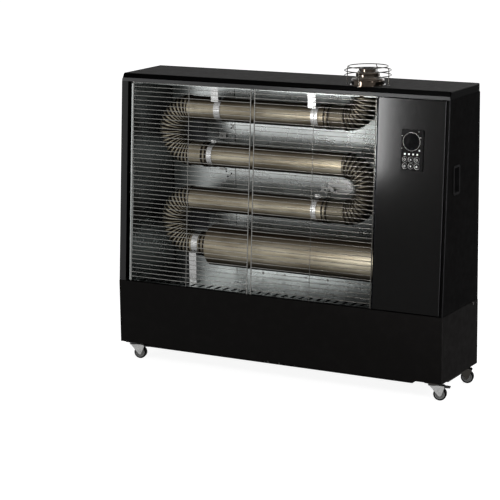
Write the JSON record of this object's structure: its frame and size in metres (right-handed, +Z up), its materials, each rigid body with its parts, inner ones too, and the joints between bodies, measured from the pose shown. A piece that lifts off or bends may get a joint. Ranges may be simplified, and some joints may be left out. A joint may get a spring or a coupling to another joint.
{
  "type": "diesel infrared heater",
  "caption": "Mobile oil-fired infrared heater: sheet case on casters, serpentine heat tube before a mirror reflector, wire guard, control panel, burner bay, tank base and flue outlet",
  "frame": {"origin": "centre of the footprint on the floor, under the middle of the case", "axes": "+X runs along the long front to the heater's right as seen from the front, +Y to the back, +Z up"},
  "size_m": [1.1564, 0.2814, 0.9885],
  "materials": {
    "black_paint": "satin black powder coat",
    "dark_paint": "dark grey powder coat",
    "lid_paint": "matt dark powder coat, gloss black bevel",
    "plated_sheet": "zinc plated sheet",
    "mirror_sheet": "polished reflector sheet",
    "bright_wire": "chrome plated wire",
    "heat_tube": "heat tinted stainless tube",
    "bright_sheet": "bright zinc sheet",
    "polished_steel": "polished spun steel",
    "black_plastic": "black moulded plastic",
    "dark_window": "smoked display window and lamps",
    "button_gloss": "glossy black keys",
    "board": "green circuit board",
    "burner_paint": "red enamel casting",
    "motor_case": "cast motor shell",
    "tank_paint": "black painted tank",
    "pump_body": "cast body with coil",
    "copper": "copper tube",
    "switch_case": "moulded switch and sensor bodies",
    "wheel_plastic": "black tyre on a grey hub",
    "pedal_plastic": "black pedal",
    "screw_zinc": "zinc plated pan heads"
  },
  "bodies": {
    "case": {"base_front_panel": "black_paint", "base_side_panels": "dark_paint", "base_rear_panel": "dark_paint", "chassis_tray": "black_paint", "underframe_rails": "black_paint", "deck_plate": "dark_paint", "side_panel_left": "dark_paint", "side_panel_right": "dark_paint", "side_grips": "black_plastic", "back_panel": "dark_paint", "lid": "lid_paint", "partition_wall": "plated_sheet", "reflector_back": "mirror_sheet", "reflector_sides": "mirror_sheet", "reflector_top": "mirror_sheet", "reflector_bottom": "mirror_sheet", "wire_guards": "bright_wire", "combustion_chamber": "heat_tube", "heat_tubes": "heat_tube", "bend_left_upper": "heat_tube", "bend_left_lower": "heat_tube", "bend_right": "heat_tube", "flue_elbow": "heat_tube", "band_clamps": "bright_sheet", "tube_supports": "bright_sheet", "flue_outlet": "polished_steel", "flue_guard": "bright_wire", "control_door": "black_paint", "control_unit": "black_plastic", "display_windows": "dark_window", "control_board": "board", "blast_tube": "plated_sheet", "burner_housing": "burner_paint", "burner_motor": "motor_case", "ignition_set": "black_plastic", "fuel_tank": "tank_paint", "fuel_pump": "pump_body", "fuel_lines": "copper", "mains_gland": "black_plastic", "safety_switches": "switch_case", "caster_plates": "bright_sheet", "case_screws": "screw_zinc"},
    "blower_wheel": {"blower_wheel": "plated_sheet"},
    "brake_pedal_front_left": {"brake_pedal_front_left": "pedal_plastic"},
    "brake_pedal_front_right": {"brake_pedal_front_right": "pedal_plastic"},
    "button_down": {"button_down": "button_gloss"},
    "button_lock": {"button_lock": "button_gloss"},
    "button_mode": {"button_mode": "button_gloss"},
    "button_power": {"button_power": "button_gloss"},
    "button_timer": {"button_timer": "button_gloss"},
    "button_up": {"button_up": "button_gloss"},
    "fork_front_left": {"caster_fork_front_left": "bright_sheet"},
    "fork_front_right": {"caster_fork_front_right": "bright_sheet"},
    "fork_rear_left": {"caster_fork_rear_left": "bright_sheet"},
    "fork_rear_right": {"caster_fork_rear_right": "bright_sheet"},
    "wheel_front_left": {"caster_wheel_front_left": "wheel_plastic"},
    "wheel_front_right": {"caster_wheel_front_right": "wheel_plastic"},
    "wheel_rear_left": {"caster_wheel_rear_left": "wheel_plastic"},
    "wheel_rear_right": {"caster_wheel_rear_right": "wheel_plastic"},
    "fuel_cap": {"fuel_cap": "black_plastic"}
  },
  "joints": [
    {"name": "button_power_press", "type": "slide", "parent": "case", "child": "button_power", "axis": [0, 0.9975, -0.0712], "range_m": [0, 0.0012], "stiffness_N_per_m": 400},
    {"name": "button_up_press", "type": "slide", "parent": "case", "child": "button_up", "axis": [0, 0.9975, -0.0712], "range_m": [0, 0.0012], "stiffness_N_per_m": 400},
    {"name": "button_timer_press", "type": "slide", "parent": "case", "child": "button_timer", "axis": [0, 0.9975, -0.0712], "range_m": [0, 0.0012], "stiffness_N_per_m": 400},
    {"name": "button_mode_press", "type": "slide", "parent": "case", "child": "button_mode", "axis": [0, 0.9975, -0.0712], "range_m": [0, 0.0012], "stiffness_N_per_m": 400},
    {"name": "button_down_press", "type": "slide", "parent": "case", "child": "button_down", "axis": [0, 0.9975, -0.0712], "range_m": [0, 0.0012], "stiffness_N_per_m": 400},
    {"name": "button_lock_press", "type": "slide", "parent": "case", "child": "button_lock", "axis": [0, 0.9975, -0.0712], "range_m": [0, 0.0012], "stiffness_N_per_m": 400},
    {"name": "blower_spin", "type": "hinge", "parent": "case", "child": "blower_wheel", "pos_m": [0.437, -0.036, 0.46], "axis": [1, 0, 0], "continuous": true},
    {"name": "fuel_cap_lift", "type": "slide", "parent": "case", "child": "fuel_cap", "axis": [0, 0, 1], "range_m": [0, 0.045]},
    {"name": "swivel_front_left", "type": "hinge", "parent": "case", "child": "fork_front_left", "pos_m": [-0.5325, -0.111, 0.047], "axis": [0, 0, 1], "continuous": true},
    {"name": "roll_front_left", "type": "hinge", "parent": "fork_front_left", "child": "wheel_front_left", "pos_m": [-0.51318, -0.10582, 0.02], "axis": [0.2588, -0.9659, 0], "continuous": true},
    {"name": "brake_front_left", "type": "hinge", "parent": "fork_front_left", "child": "brake_pedal_front_left", "pos_m": [-0.50352, -0.10323, 0.0415], "axis": [-0.2588, 0.9659, 0], "range_deg": [0, 18]},
    {"name": "swivel_front_right", "type": "hinge", "parent": "case", "child": "fork_front_right", "pos_m": [0.5325, -0.111, 0.047], "axis": [0, 0, 1], "continuous": true},
    {"name": "roll_front_right", "type": "hinge", "parent": "fork_front_right", "child": "wheel_front_right", "pos_m": [0.55182, -0.10582, 0.02], "axis": [0.2588, -0.9659, 0], "continuous": true},
    {"name": "brake_front_right", "type": "hinge", "parent": "fork_front_right", "child": "brake_pedal_front_right", "pos_m": [0.56148, -0.10323, 0.0415], "axis": [-0.2588, 0.9659, 0], "range_deg": [0, 18]},
    {"name": "swivel_rear_left", "type": "hinge", "parent": "case", "child": "fork_rear_left", "pos_m": [-0.5325, 0.098, 0.047], "axis": [0, 0, 1], "continuous": true},
    {"name": "roll_rear_left", "type": "hinge", "parent": "fork_rear_left", "child": "wheel_rear_left", "pos_m": [-0.51318, 0.10318, 0.02], "axis": [0.2588, -0.9659, 0], "continuous": true},
    {"name": "swivel_rear_right", "type": "hinge", "parent": "case", "child": "fork_rear_right", "pos_m": [0.5325, 0.098, 0.047], "axis": [0, 0, 1], "continuous": true},
    {"name": "roll_rear_right", "type": "hinge", "parent": "fork_rear_right", "child": "wheel_rear_right", "pos_m": [0.55182, 0.10318, 0.02], "axis": [0.2588, -0.9659, 0], "continuous": true}
  ]
}
